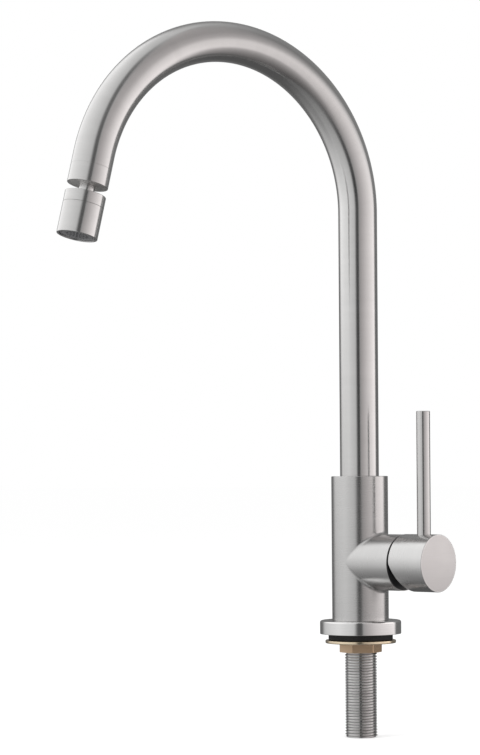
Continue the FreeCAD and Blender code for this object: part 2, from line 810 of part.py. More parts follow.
def upright_rod(radius, low, high):
    """A cylinder square to the boss's axis at the lever's rod, from low to high above that axis."""
    return Part.makeCylinder(radius, high - low, FreeCAD.Vector(low, 0, rod_x), FreeCAD.Vector(1, 0, 0))


def lever_rod():
    seat_up = hub_od / 2 - rod_seat_depth
    start = seat_up - rod_thread_length
    top = hub_od / 2 + rod_above_hub
    blank = turned([
        (0, start), (rod_thread_od / 2, start), (rod_thread_od / 2, seat_up), (rod_od / 2, seat_up),
        (rod_od / 2, top - rod_chamfer), (rod_od / 2 - rod_chamfer, top), (0, top),
    ])
    return placed(blank, FreeCAD.Placement(FreeCAD.Vector(rod_x, 0, boss_z), FreeCAD.Rotation()))


def hub_screw():
    """Bears on the stem's flat from below and holds the hub on."""
    high = -stem_square / 2 - close_gap
    screw = grub_screw(hub_screw_od, high - hub_screw_length, high)
    return placed(screw, FreeCAD.Placement(FreeCAD.Vector(rod_x, 0, boss_z), FreeCAD.Rotation()))


def screw_plug():
    high = -stem_square / 2 - close_gap - hub_screw_length - loose_gap
    plug = rod(hub_screw_od / 2, -hub_od / 2 + plug_inset, high)
    return placed(plug, FreeCAD.Placement(FreeCAD.Vector(rod_x, 0, boss_z), FreeCAD.Rotation()))


PIECES = [
    deck_gasket, base_flange, threaded_shank, shank_seal, clamp_washer, lock_nut,
    body_shell, retaining_screw, thrust_ring, upper_glide_ring,
    spout_bush, spout_o_rings, spout_tube, outlet_collar, stem_washer, stem_bush, stem_circlip,
    swivel_stem, stem_o_ring,
    head_cap, head_shell, upper_seat, lower_seat, ball_o_ring,
    aerator_washer, jet_plate, aerator_housing, outlet_grille,
    port_seals, cartridge_base, fixed_disc, moving_disc, disc_carrier,
    cartridge_housing, cartridge_nut, boss_trim_ring,
    stem_carrier, pivot_pin, carrier_o_ring, cartridge_stem,
    lever_hub, lever_rod, hub_screw, screw_plug,
]

os.makedirs("parts", exist_ok=True)
for piece in PIECES:
    shape = piece()
    shape.exportStep("parts/" + piece.__name__ + ".step")
    volume = shape.Volume / 1000
    print(f"{piece.__name__}: {len(shape.Solids)} solid(s), {volume:.2f} cm3, valid {shape.isValid()}")
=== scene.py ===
import bpy
import json
import math
import numpy as np
from mathutils import Matrix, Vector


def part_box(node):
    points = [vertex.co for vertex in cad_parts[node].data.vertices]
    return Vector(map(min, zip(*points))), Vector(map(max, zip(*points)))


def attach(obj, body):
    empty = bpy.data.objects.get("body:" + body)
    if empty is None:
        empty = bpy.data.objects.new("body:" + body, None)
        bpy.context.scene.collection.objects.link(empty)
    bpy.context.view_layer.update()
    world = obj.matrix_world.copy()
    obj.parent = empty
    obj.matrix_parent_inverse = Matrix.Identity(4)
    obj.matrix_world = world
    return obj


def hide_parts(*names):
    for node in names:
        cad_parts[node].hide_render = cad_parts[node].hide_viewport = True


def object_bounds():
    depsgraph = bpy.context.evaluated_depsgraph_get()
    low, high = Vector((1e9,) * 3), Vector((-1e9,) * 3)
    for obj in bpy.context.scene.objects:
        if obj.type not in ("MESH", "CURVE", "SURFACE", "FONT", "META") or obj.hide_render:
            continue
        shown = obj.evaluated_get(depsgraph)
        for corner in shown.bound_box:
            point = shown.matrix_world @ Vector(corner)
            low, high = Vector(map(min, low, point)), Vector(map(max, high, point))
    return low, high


# Single-inlet kitchen tap in brushed stainless steel. Metres, +Z up, +X out along the lever's boss.

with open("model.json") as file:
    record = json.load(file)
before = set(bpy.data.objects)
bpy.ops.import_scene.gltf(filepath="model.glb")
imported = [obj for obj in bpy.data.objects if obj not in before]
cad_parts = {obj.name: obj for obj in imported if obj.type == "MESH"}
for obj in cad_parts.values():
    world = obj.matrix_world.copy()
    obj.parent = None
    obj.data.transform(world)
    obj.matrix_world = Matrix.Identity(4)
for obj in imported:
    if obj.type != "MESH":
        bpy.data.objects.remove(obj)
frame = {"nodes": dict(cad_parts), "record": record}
cad_low, cad_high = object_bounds()

MM = 0.001
WELD = 1e-7  # points nearer than this are one vertex
UP = np.array([0.0, 0.0, 1.0])

# Sizes that the frame's boxes don't give
spout_r = 12.5 * MM
spout_wall = 1.2 * MM
riser_length = 169.6 * MM
bend_radius = 101.2 * MM
bend_angle = math.radians(166)
tail_length = 7.9 * MM
collar_length = 11.3 * MM
spout_azimuth = math.radians(256.9)
tube_insertion = 14.7 * MM
boss_r = 18.0 * MM
weld_round = 2.2 * MM
socket_r = 13.36 * MM
socket_floor_z = 68.9 * MM
shank_hole_r = 10.53 * MM
shank_hole_top_z = 23.5 * MM
shank_bore_r = 7.0 * MM
foot_r = 15.0 * MM
nut_recess_r = 15.0 * MM
nut_recess_x = 26.5 * MM
cavity_r = 12.75 * MM
cavity_floor_x = 7.5 * MM
hub_bevel = math.radians(24.7)
hub_hollow_r = 14.5 * MM
hub_floor_x = 46.0 * MM
thread_pitch = 1.814 * MM
thread_depth = 1.162 * MM
nut_flats = 24.0 * MM
nut_corner_round = 1.0 * MM
nut_flat_azimuth = math.radians(15)

# Clearances
close_fit = 0.05 * MM
loose_fit = 0.25 * MM

# How far edges are rolled over
seam = 0.05 * MM
crisp = 0.1 * MM
fine = 0.15 * MM
eased = 0.2 * MM
soft = 0.3 * MM
blunt = 0.4 * MM
round_off = 0.5 * MM


# Places


def unit(v):
    return v / np.linalg.norm(v, axis=-1, keepdims=True)


def place(origin, own_z, own_x):
    """A 4 by 4 place from an origin, its own Z and its own X, which are square to each other."""
    m = np.eye(4)
    m[:3, 0], m[:3, 1], m[:3, 2], m[:3, 3] = own_x, np.cross(own_z, own_x), own_z, origin
    return m


def extent(node, at):
    """A CAD node's greatest radius, lowest and highest height about a place's own Z."""
    mesh = frame["nodes"][node].data
    co = np.empty(len(mesh.vertices) * 3, np.float32)
    mesh.vertices.foreach_get("co", co)
    own = (co.reshape(-1, 3) - at[:3, 3]) @ at[:3, :3]
    return np.hypot(own[:, 0], own[:, 1]).max(), own[:, 2].min(), own[:, 2].max()


upright = np.eye(4)
shade_ring_low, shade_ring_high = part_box("boss_trim_ring")
boss_z = (shade_ring_low.z + shade_ring_high.z) / 2
boss = place((0, 0, boss_z), np.array([1.0, 0, 0]), UP)

body_low, body_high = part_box("body_shell")
barrel_r = -body_low.x
rim_z = body_high.z
boss_end_x = body_high.x
foot_z = body_low.z
flange_r, flange_low, flange_top = extent("base_flange", upright)
spring_z = rim_z + riser_length

# The spout leans out along lean. Its end, and its axis there, come from the bend and the straight tail and
# collar after it.
lean = np.array([math.cos(spout_azimuth), math.sin(spout_azimuth), 0.0])
across = np.cross(UP, lean)
tail_axis = lean * math.sin(bend_angle) + UP * math.cos(bend_angle)
bend_centre = lean * bend_radius + UP * spring_z
bend_end = bend_centre - (lean * math.cos(bend_angle) - UP * math.sin(bend_angle)) * bend_radius
spout_end = bend_end + tail_axis * (tail_length + collar_length)
outlet = place(spout_end, -tail_axis, across)


# Outlines and surfaces


def rolled(corners, faces, rolls, steps=4):
    """Rows of points and normals along straight runs whose corners are rolled over.

    A corner P between faces with normals a and b, rolled to radius r, is the arc about
    C = P + s r (a + b) / (1 + a.b) with points C - s r n. Here n turns from a to b, and s is -1 at an edge
    and +1 in a hollow corner.
    """
    points, normals = [corners[0]], [faces[0]]
    for i, roll in enumerate(rolls, start=1):
        a, b = faces[i - 1], faces[i]
        side = np.sign(((corners[i + 1] - corners[i]) * a).sum(-1, keepdims=True))
        centre = corners[i] + side * roll * (a + b) / (1 + (a * b).sum(-1, keepdims=True))
        for t in np.linspace(0, 1, steps + 1):
            n = unit((1 - t) * a + t * b)
            points.append(centre - side * roll * n)
            normals.append(n)
    return np.stack(points + [corners[-1]]), np.stack(normals + [faces[-1]])


def outline(*corners, steps=4):
    """Rows of radius, height and the normal's parts along both, from corners of radius, height and roll.

    The corners go anticlockwise about the solid, with radius to the right and height upwards. A closed
    outline starts and ends halfway along a run.
    """
    given = np.array(corners, float)
    points = given[:, None, :2]
    step = np.diff(points, axis=0)
    faces = unit(np.stack([step[..., 1], -step[..., 0]], -1))
    rows, normals = rolled(points, faces, given[1:-1, 2], steps)
    return np.concatenate([rows[:, 0], normals[:, 0]], axis=1)


def arc(centre_h, radius, start, stop, steps=24):
    """Rows as outline gives them, round a ball on the axis, between two angles above its level."""
    angle = np.linspace(start, stop, steps + 1)
    radial, height = np.cos(angle), np.sin(angle)
    return np.stack([radius * radial, centre_h + radius * height, radial, height], axis=1)


def length_along(points):
    """The distance walked down each column of a grid of points."""
    step = np.linalg.norm(np.diff(points, axis=0), axis=-1)
    return np.concatenate([np.zeros((1, step.shape[1])), np.cumsum(step, axis=0)])


def sheet(points, normals, around):
    """A grid with its grain map: how far along the rows, and how far around the columns, in metres."""
    along = length_along(points).mean(axis=1)
    grain = np.stack(np.broadcast_arrays(along[:, None], around), -1)
    return points, normals, grain


def turned(at, rows, columns=144):
    """The surface of revolution of outline rows about a place's own Z."""
    angle = np.linspace(0, 2 * math.pi, columns + 1)
    ring = np.cos(angle)[:, None] * at[:3, 0] + np.sin(angle)[:, None] * at[:3, 1]
    points = rows[:, None, None, 0] * ring + rows[:, None, None, 1] * at[:3, 2] + at[:3, 3]
    normals = rows[:, None, None, 2] * ring + rows[:, None, None, 3] * at[:3, 2]
    return sheet(points, np.broadcast_to(normals, points.shape), angle[None, :] * rows[:, 0].max())


def cells(rows, columns):
    """The four corners of each cell of a grid, whose points are numbered row by row."""
    i = np.arange(rows * columns).reshape(rows, columns)
    return np.stack([i[:-1, :-1], i[:-1, 1:], i[1:, 1:], i[1:, :-1]], -1).reshape(-1, 4)


def skin(name, body, slot, sheets_of, *nodes):
    """One closed piece that stands for CAD nodes, from the sheets that each of its finishes covers.

    Sheets join where their borders meet. Cells that shrink to a corner or an edge become triangles or go, and
    each face is wound to suit the normals that come with its sheet.
    """
    sheets = [one for covered in sheets_of.values() for one in covered]
    coats = [coat for coat, covered in enumerate(sheets_of.values()) for _ in covered]
    quads, coat_of, start = [], [], 0
    for coat, (points, _, _) in zip(coats, sheets):
        rows, columns = points.shape[:2]
        quads.append(cells(rows, columns) + start)
        coat_of.append(np.full(len(quads[-1]), coat, np.int32))
        start += rows * columns
    quads, coat_of = np.concatenate(quads), np.concatenate(coat_of)
    points, normals, grain = (
        np.concatenate([grid.reshape(-1, grid.shape[-1]) for grid in grids]) for grids in zip(*sheets)
    )

    diagonals = points[quads[:, 2]] - points[quads[:, 0]], points[quads[:, 3]] - points[quads[:, 1]]
    backwards = (np.cross(*diagonals) * normals[quads].sum(axis=1)).sum(axis=1) < 0
    quads[backwards] = quads[backwards][:, ::-1]
    rounded = np.round(points / WELD).astype(np.int64)
    _, first, joined = np.unique(rounded, axis=0, return_index=True, return_inverse=True)
    joined = joined.reshape(-1)
    kept = joined[quads] != np.roll(joined[quads], -1, axis=1)
    kept &= kept.sum(axis=1, keepdims=True) > 2
    sizes = kept.sum(axis=1)
    coat_of = coat_of[sizes > 0]
    sizes = sizes[sizes > 0]
    loops = quads[kept]

    mesh = bpy.data.meshes.new(name)
    mesh.vertices.add(len(first))
    mesh.vertices.foreach_set("co", points[first].astype(np.float32).ravel())
    mesh.loops.add(len(loops))
    mesh.loops.foreach_set("vertex_index", joined[loops].astype(np.int32))
    mesh.polygons.add(len(sizes))
    mesh.polygons.foreach_set("loop_start", np.concatenate([[0], np.cumsum(sizes)[:-1]]).astype(np.int32))
    mesh.polygons.foreach_set("use_smooth", np.ones(len(sizes), bool))
    mesh.polygons.foreach_set("material_index", coat_of)
    mesh.update(calc_edges=True)
    mesh.uv_layers.new(name="grain").data.foreach_set("uv", grain[loops].astype(np.float32).ravel())
    mesh.normals_split_custom_set(normals[loops])
    for finish in sheets_of:
        mesh.materials.append(finish)
    piece = bpy.data.objects.new(name, mesh)
    bpy.context.scene.collection.objects.link(piece)
    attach(piece, body)
    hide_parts(*nodes)
    return piece


# Finishes


def new_finish(name, **sockets):
    """A material with one Principled shader, and that shader."""
    made = bpy.data.materials.new(name)
    made.use_nodes = True
    shader = made.node_tree.nodes["Principled BSDF"]
    for socket, value in sockets.items():
        shader.inputs[socket.replace("_", " ")].default_value = value
    return made, shader


def node(made, kind, **settings):
    """A node of a material or world.

    A setting that is a socket's name sets or links that input, and others are properties.
    """
    new = made.node_tree.nodes.new(kind)
    for key, value in settings.items():
        socket = key.replace("_", " ")
        if hasattr(new, key):
            setattr(new, key, value)
        elif isinstance(value, bpy.types.NodeSocket):
            made.node_tree.links.new(value, new.inputs[socket])
        else:
            new.inputs[socket].default_value = value
    return new


def own_place(made):
    """Where a point lies on the piece itself, in metres."""
    return node(made, "ShaderNodeTexCoord").outputs["Object"]


def pattern(made, source, scale, detail=2.0, roughness=0.5):
    """A noise's value over a source vector that a Mapping node stretches by scale."""
    stretched = node(made, "ShaderNodeMapping", Vector=source, Scale=scale).outputs[0]
    noise = node(made, "ShaderNodeTexNoise", Vector=stretched, Scale=1.0, Detail=detail, Roughness=roughness)
    return noise.outputs["Fac"]


def spread(made, value, low, high, out_low, out_high):
    """A value's range from low to high, carried over to another range."""
    return node(
        made, "ShaderNodeMapRange", Value=value, From_Min=low, From_Max=high, To_Min=out_low, To_Max=out_high,
    ).outputs[0]


def tint(made, value, dark, light):
    """A colour between dark and light by a value, of which the middle part from 0.3 to 0.7 counts."""
    ramp = node(made, "ShaderNodeValToRGB", Fac=value)
    for stop, position, colour in zip(ramp.color_ramp.elements, (0.3, 0.7), (dark, light)):
        stop.position = position
        stop.color = (*colour, 1)
    return ramp.outputs[0]


def texture(made, shader, value, roughness, strength, depth, sway=0.05):
    """Roughness that sways about its level, and a bump, both from one noise."""
    links = made.node_tree.links
    links.new(spread(made, value, 0.3, 0.7, roughness - sway, roughness + sway), shader.inputs["Roughness"])
    bump = node(made, "ShaderNodeBump", Strength=strength, Distance=depth, Height=value)
    links.new(bump.outputs[0], shader.inputs["Normal"])


def brushed_metal(name, dark, light, roughness, anisotropy, groove=0.003 * MM):
    """Metal brushed in fine lines round each piece: reflections spread along it and stay narrow across."""
    line_sway = 0.012
    made, shader = new_finish(name, Metallic=1.0, Anisotropic=anisotropy)
    links = made.node_tree.links
    grain = node(made, "ShaderNodeUVMap", uv_map="grain").outputs[0]
    lines = pattern(made, grain, (5200, 34, 1), detail=3, roughness=0.65)
    bands = pattern(made, grain, (160, 22, 1), detail=2)
    handling = pattern(made, own_place(made), (38, 38, 38), detail=3)
    both = node(made, "ShaderNodeMath", operation="ADD")
    links.new(spread(made, lines, 0.25, 0.75, 0.0, 0.7), both.inputs[0])
    links.new(spread(made, bands, 0.3, 0.7, 0.0, 0.3), both.inputs[1])
    links.new(tint(made, both.outputs[0], dark, light), shader.inputs["Base Color"])
    gloss = node(made, "ShaderNodeMath", operation="ADD")
    links.new(spread(made, lines, 0.3, 0.7, roughness - line_sway, roughness + line_sway), gloss.inputs[0])
    links.new(spread(made, handling, 0.35, 0.65, -0.015, 0.025), gloss.inputs[1])
    links.new(gloss.outputs[0], shader.inputs["Roughness"])
    bump = node(made, "ShaderNodeBump", Strength=0.12, Distance=groove, Height=lines)
    links.new(bump.outputs[0], shader.inputs["Normal"])
    tangent = node(made, "ShaderNodeTangent", direction_type="UV_MAP", uv_map="grain")
    links.new(tangent.outputs[0], shader.inputs["Tangent"])
    return made


def solid_finish(name, dark, light, roughness, grain_scale, bump_depth, specular=0.5):
    """A moulded, cast or sintered surface with a slight mottle and a fine texture."""
    made, shader = new_finish(name, Specular_IOR_Level=specular)
    own = own_place(made)
    mottle = pattern(made, own, (120, 120, 120), detail=3)
    grain = pattern(made, own, (grain_scale, grain_scale, grain_scale), detail=3, roughness=0.6)
    made.node_tree.links.new(tint(made, mottle, dark, light), shader.inputs["Base Color"])
    texture(made, shader, grain, roughness, strength=0.4, depth=bump_depth)
    return made


def turned_metal(name, dark, light, roughness):
    """Plain machined metal for pieces without a grain map: mottled, with fine tool marks."""
    made, shader = new_finish(name, Metallic=1.0)
    marks = pattern(made, own_place(made), (420, 420, 2600), detail=3)
    made.node_tree.links.new(tint(made, marks, dark, light), shader.inputs["Base Color"])
    texture(made, shader, marks, roughness, strength=0.3, depth=0.01 * MM)
    return made


def steel(level):
    """The colour of stainless steel at a level of brightness, which is very slightly warm."""
    return level, level - 0.005, level - 0.01


spout_steel = brushed_metal("brushed tube", steel(0.605), steel(0.635), 0.20, 0.75)
body_steel = brushed_metal("brushed body", steel(0.60), steel(0.63), 0.27, 0.7)
hub_steel = brushed_metal("brushed lever hub", steel(0.645), steel(0.675), 0.26, 0.7)
disc_steel = brushed_metal("faced hub end", (0.54, 0.53, 0.525), (0.57, 0.56, 0.555), 0.30, 0.5)
outlet_steel = brushed_metal("brushed outlet", steel(0.61), steel(0.64), 0.20, 0.7)
# The collar's faced end is really rougher, and its base colour, lighter than the outlet's steel, paints light
# onto the shaded underside.
faced_steel_painted_light = brushed_metal("faced outlet end painted lighter", (0.72, 0.71, 0.70), (0.80, 0.79, 0.78), 0.52, 0.2)
# The flange's steel is a lighter copy of the body's: its raised base colour paints the flange's brighter
# reflection.
flange_steel_painted_bright = brushed_metal("turned flange painted brighter", steel(0.83), steel(0.88), 0.14, 0.5)
shank_steel = brushed_metal("cut thread", steel(0.66), steel(0.76), 0.13, 0.0)
# The nut's brass is a darker copy of the washer's: its lowered base colour paints the shade that the washer
# and flange cast on it.
nut_brass_painted_shade = brushed_metal("milled brass painted darker", (0.63, 0.46, 0.30), (0.77, 0.58, 0.42), 0.45, 0.0, groove=0.02 * MM)
# The washer's brass is a lighter copy of the nut's: its raised base colour paints the bright reflection on
# its rolled edge.
washer_brass_painted_bright = brushed_metal("pressed brass painted brighter", (0.92, 0.77, 0.55), (0.97, 0.83, 0.63), 0.18, 0.3)
plain_steel = turned_metal("turned stainless", steel(0.52), steel(0.66), 0.3)
plain_brass = turned_metal("turned brass", (0.52, 0.36, 0.20), (0.66, 0.48, 0.28), 0.32)
rubber = solid_finish(
    "black rubber", (0.010, 0.010, 0.010), (0.022, 0.021, 0.021), 0.62, 2200, 0.02 * MM, specular=0.35,
)
black_plastic = solid_finish(
    "black plastic", (0.012, 0.012, 0.013), (0.020, 0.020, 0.021), 0.42, 3000, 0.006 * MM,
)
grey_plastic = solid_finish("grey plastic", (0.11, 0.11, 0.114), (0.15, 0.15, 0.156), 0.40, 3000, 0.006 * MM)
acetal = solid_finish("white acetal", (0.68, 0.68, 0.66), (0.78, 0.78, 0.76), 0.38, 2600, 0.006 * MM)
ceramic = solid_finish("lapped ceramic", (0.80, 0.78, 0.73), (0.88, 0.86, 0.82), 0.12, 5000, 0.001 * MM)


# Base


def gasket_surface():
    r, low, high = extent("deck_gasket", upright)
    inner, middle, edge = shank_hole_r + loose_fit, (low + high) / 2, 0.7 * MM
    rows = outline(
        (inner, middle, 0), (inner, low, eased), (r, low, edge), (r, high, edge), (inner, high, eased),
        (inner, middle, 0),
    )
    return [turned(upright, rows)]


def flange_surface():
    """A low round plate with a generous roll on its upper edge."""
    inner, middle = foot_r + close_fit, (flange_low + flange_top) / 2
    lower_edge, upper_edge = 0.25 * MM, 1.3 * MM
    rows = outline(
        (inner, middle, 0), (inner, flange_low, eased), (flange_r, flange_low, lower_edge),
        (flange_r, flange_top, upper_edge), (inner, flange_top, crisp), (inner, middle, 0), steps=6,
    )
    return [turned(upright, rows, columns=192)]


def washer_surface():
    """A flat ring with a generous roll on its outer edges."""
    r, low, high = extent("clamp_washer", upright)
    inner, middle, edge = shank_hole_r + loose_fit, (low + high) / 2, 0.28 * (high - low)
    rows = outline(
        (inner, middle, 0), (inner, low, eased), (r, low, edge), (r, high, edge), (inner, high, eased),
        (inner, middle, 0), steps=6,
    )
    return [turned(upright, rows, columns=192)]


def nut_surface():
    """A hexagon with rounded corners that are turned off to a cone, above and below.

    Round each corner the outline is an arc about a point of a smaller hexagon, and between corners it runs
    straight. The cone takes each point down by its distance beyond the face's radius times the cone's slope.
    The easing is how far the cone would cut into a sharp corner, and the least cut is what it takes off the
    flats.
    """
    _, low, high = extent("lock_nut", upright)
    bore = shank_hole_r + 0.01 * MM
    easing, least_cut, cone_angle = 0.45 * MM, 0.02 * MM, math.radians(45)
    cone_top, cone_foot = 0.02 * MM, 0.01 * MM
    sides, arc_points, straight_points = 6, 6, 12
    half_side = math.pi / sides

    corner = nut_flat_azimuth + 2 * half_side * (np.arange(sides)[:, None] + 0.5)
    turn = corner + np.linspace(-half_side, half_side, arc_points)
    smaller_hexagon_r = (nut_flats / 2 - nut_corner_round) / math.cos(half_side)
    facing = np.stack([np.cos(turn), np.sin(turn)], -1)
    arcs = smaller_hexagon_r * np.stack([np.cos(corner), np.sin(corner)], -1) + nut_corner_round * facing
    t = np.linspace(0, 1, straight_points + 2)[None, 1:-1, None]
    straights = arcs[:, -1:] * (1 - t) + np.roll(arcs, -1, axis=0)[:, :1] * t
    straights_facing = np.broadcast_to(facing[:, -1:], straights.shape)
    outer = np.concatenate([arcs, straights], axis=1).reshape(-1, 2)
    side = np.concatenate([facing, straights_facing], axis=1).reshape(-1, 2)
    outer, side = (np.concatenate([v, v[:1]]) for v in (outer, side))

    radius = np.linalg.norm(outer, axis=1, keepdims=True)
    ring = np.concatenate([outer / radius, np.zeros_like(radius)], axis=1)
    side = np.concatenate([side, np.zeros_like(radius)], axis=1)
    face_r = np.minimum(nut_flats / math.sqrt(3) - easing, radius - least_cut)
    drop = (radius - face_r) * math.tan(cone_angle)
    middle = (low + high) / 2
    heights = [middle, low, low, low + drop, high - drop, high, high, middle]
    radii = [bore, bore, face_r, radius, radius, face_r, bore, bore]
    corners = np.stack([r * ring + h * UP for r, h in zip(radii, heights)])
    slope, lift = math.sin(cone_angle) * ring, math.cos(cone_angle) * UP
    flat = np.broadcast_to(UP, ring.shape)
    faces = [-ring, -flat, unit(slope - lift), side, unit(slope + lift), flat, -ring]
    rolls = [fine, cone_top, cone_foot, cone_foot, cone_top, fine]
    points, normals = rolled(corners, faces, rolls, steps=2)
    walked = length_along(outer[:, None])[:, 0]
    return [sheet(points, normals, walked)]


def shank_surface():
    """A tube with a right-handed thread outside.

    Its ridge is a triangle wave with rounded tips, asin(k cos t) / asin k. Here k is the tips' sharpness, and
    t makes a full turn per pitch of height and is taken back by the angle round the shank. Cones cut the
    ridge down at both ends, so that it runs out.
    """
    crest_r, low, high = extent("threaded_shank", upright)
    columns, rows_per_turn, sharpness = 96, 16, 0.8
    runout_depth, runout_slope = 1.1 * thread_depth, 1.2
    height = np.linspace(low, high, round((high - low) / thread_pitch * rows_per_turn))
    angle = np.linspace(0, 2 * math.pi, columns + 1)
    turn = 2 * math.pi / thread_pitch * height[:, None] - angle
    wave = np.arcsin(sharpness * np.cos(turn)) / math.asin(sharpness)
    rise = -sharpness * np.sin(turn) / np.sqrt(1 - (sharpness * np.cos(turn)) ** 2) / math.asin(sharpness)
    radius = crest_r - thread_depth / 2 * (1 - wave)
    slope = math.pi * thread_depth / thread_pitch * rise
    cone = crest_r - runout_depth + runout_slope * np.minimum(height - low, high - height)[:, None]
    slope = np.where(cone < radius, 0, slope)
    radius = np.minimum(cone, radius)
    ring = np.stack([np.cos(angle), np.sin(angle), np.zeros_like(angle)], -1)
    points = radius[..., None] * ring + height[:, None, None] * UP
    normals = unit(ring - slope[..., None] * UP)
    thread = sheet(points, normals, angle * crest_r)

    end_r, middle = radius[0, 0], (low + high) / 2
    lower = outline((shank_bore_r, middle, 0), (shank_bore_r, low, round_off), (end_r, low, 0))
    upper = outline((end_r, high, 0), (shank_bore_r, high, round_off), (shank_bore_r, middle, 0))
    return [thread, turned(upright, lower, columns), turned(upright, upper, columns)]


# Body


def weld_ball(angle):
    """Centre of a ball rolled round the joint of barrel and boss, by the angle from the boss's top."""
    reach, round_r = barrel_r + weld_round, boss_r + weld_round
    y, up = -round_r * np.sin(angle), round_r * np.cos(angle)
    return np.stack([np.sqrt(reach**2 - y**2), y, boss_z + up], -1)


def body_surface():
    """Barrel and boss as one closed skin, whose joint is the inside of a ball rolled along it.

    The ball touches the barrel and the boss along two curves. Between them its own surface is the weld; the
    barrel starts at one curve, goes round the back and returns to it, and the boss starts at the other.
    """
    half, columns, weld_rows = 96, 144, 8
    angle = np.linspace(-math.pi, math.pi, 2 * half + 1)
    ball = weld_ball(angle)
    on_barrel = unit(ball * [1, 1, 0])
    on_boss = unit((ball - [0, 0, boss_z]) * [0, 1, 1])

    t = np.linspace(0, 1, weld_rows + 1)[:, None, None]
    toward = unit((1 - t) * on_barrel + t * on_boss)
    weld = sheet(ball - weld_round * toward, toward, angle * boss_r)

    # The barrel's band beside the boss goes row by row from the top of the joint to its foot.
    side = weld_ball(np.linspace(0, math.pi, half + 1))
    opening = np.abs(np.arctan2(side[:, 1], side[:, 0]))[:, None]
    around = opening + (2 * math.pi - 2 * opening) * np.linspace(0, 1, columns + 1)
    out = np.stack([np.cos(around), np.sin(around), np.zeros_like(around)], -1)
    band_points = barrel_r * out + side[:, 2][:, None, None] * UP
    band = (band_points, out, np.stack([np.broadcast_to(side[:, 2:], around.shape), around * barrel_r], -1))

    top = outline(
        (barrel_r, side[0, 2], 0), (barrel_r, rim_z, round_off), (socket_r, rim_z, eased),
        (socket_r, socket_floor_z, eased), (0, socket_floor_z, 0),
    )
    foot = outline(
        (0, shank_hole_top_z, 0), (shank_hole_r, shank_hole_top_z, eased), (shank_hole_r, foot_z, eased),
        (foot_r, foot_z, eased), (foot_r, flange_top, crisp), (barrel_r, flange_top, soft),
        (barrel_r, side[-1, 2], 0),
    )

    # The boss's skin goes out from the weld to its end, and in by steps to the middle of the cavity's floor.
    ring = -np.sin(angle)[:, None] * [0, 1, 0] + np.cos(angle)[:, None] * UP
    inward = [
        (boss_end_x, boss_r, fine), (boss_end_x, nut_recess_r, crisp), (nut_recess_x, nut_recess_r, crisp),
        (nut_recess_x, cavity_r, crisp), (cavity_floor_x, cavity_r, crisp), (cavity_floor_x, 0, 0),
    ]
    start = np.stack([ball[:, 0], *(boss_r * on_boss[:, 1:] + [0, boss_z]).T], -1)
    corners = np.stack([start] + [r * ring + [x, 0, boss_z] for x, r, _ in inward])
    ahead = np.broadcast_to([1.0, 0, 0], ring.shape)
    faces = [ring, ahead, -ring, ahead, -ring, ahead]
    points, normals = rolled(corners, faces, [roll for _, _, roll in inward[:-1]])
    boss_skin = sheet(points, normals, angle * boss_r)
    return [weld, band, turned(upright, top, columns), turned(upright, foot, columns), boss_skin]


# Spout


def spout_surface():
    """A tube along a riser, a bend and a straight tail.

    Its centre line goes up from inside the body, round the bend's centre by the bend's angle, and on along
    the tail. Rings of the tube's two radii stand square to it. The rows go round the far rim, back inside,
    round the near rim and out again.
    """
    columns, bend_rows = 144, 108
    angle = np.linspace(0, 2 * math.pi, columns + 1)
    bend = np.linspace(0, bend_angle, bend_rows + 1)[:, None]
    inner_side = lean * np.cos(bend) - UP * np.sin(bend)
    on_bend = bend_centre - inner_side * bend_radius
    centre = np.concatenate([[UP * (rim_z - tube_insertion)], on_bend, [bend_end + tail_axis * tail_length]])
    inner_side = np.concatenate([inner_side[:1], inner_side, inner_side[-1:]])
    ring = np.cos(angle)[None, :, None] * inner_side[:, None] + np.sin(angle)[None, :, None] * across
    outside, inside = (centre[:, None] + r * ring for r in (spout_r, spout_r - spout_wall))
    far_end, near_end = np.broadcast_to(tail_axis, ring[0].shape), np.broadcast_to(-UP, ring[0].shape)
    far_corners = np.stack([outside[-2], outside[-1], inside[-1], inside[-2]])
    near_corners = np.stack([inside[1], inside[0], outside[0], outside[1]])
    far, far_faces = rolled(far_corners, [ring[-1], far_end, -ring[-1]], [crisp, crisp])
    near, near_faces = rolled(near_corners, [-ring[0], near_end, ring[0]], [crisp, crisp])
    points = np.concatenate([far, inside[-3:1:-1], near, outside[2:-1]])
    normals = np.concatenate([far_faces, -ring[-3:1:-1], near_faces, ring[2:-1]])
    return [sheet(points, normals, angle * spout_r)]


def collar_surface():
    """The brushed outside, and apart from it the faced end and the inside, in a rougher coat whose lighter
    colour paints light into their shade.
    """
    r, low, high = extent("outlet_collar", outlet)
    shoulder = low + collar_length
    hole, spigot = 4.885 * MM, spout_r - spout_wall - close_fit
    chamber, floor = 7.5 * MM, 2.5 * MM
    rim_r = r - 0.6 * MM
    end = outline((hole, floor / 2, 0), (hole, low, eased), (rim_r, low, 0))
    outside = outline((rim_r, low, 0), (r, low, soft), (r, shoulder, crisp), (spigot, shoulder, 0))
    inside = outline(
        (spigot, shoulder, 0), (spigot, high, eased), (chamber, high, eased), (chamber, floor, eased),
        (hole, floor, crisp), (hole, floor / 2, 0),
    )
    faced = [turned(outlet, end), turned(outlet, inside)]
    return {outlet_steel: [turned(outlet, outside)], faced_steel_painted_light: faced}


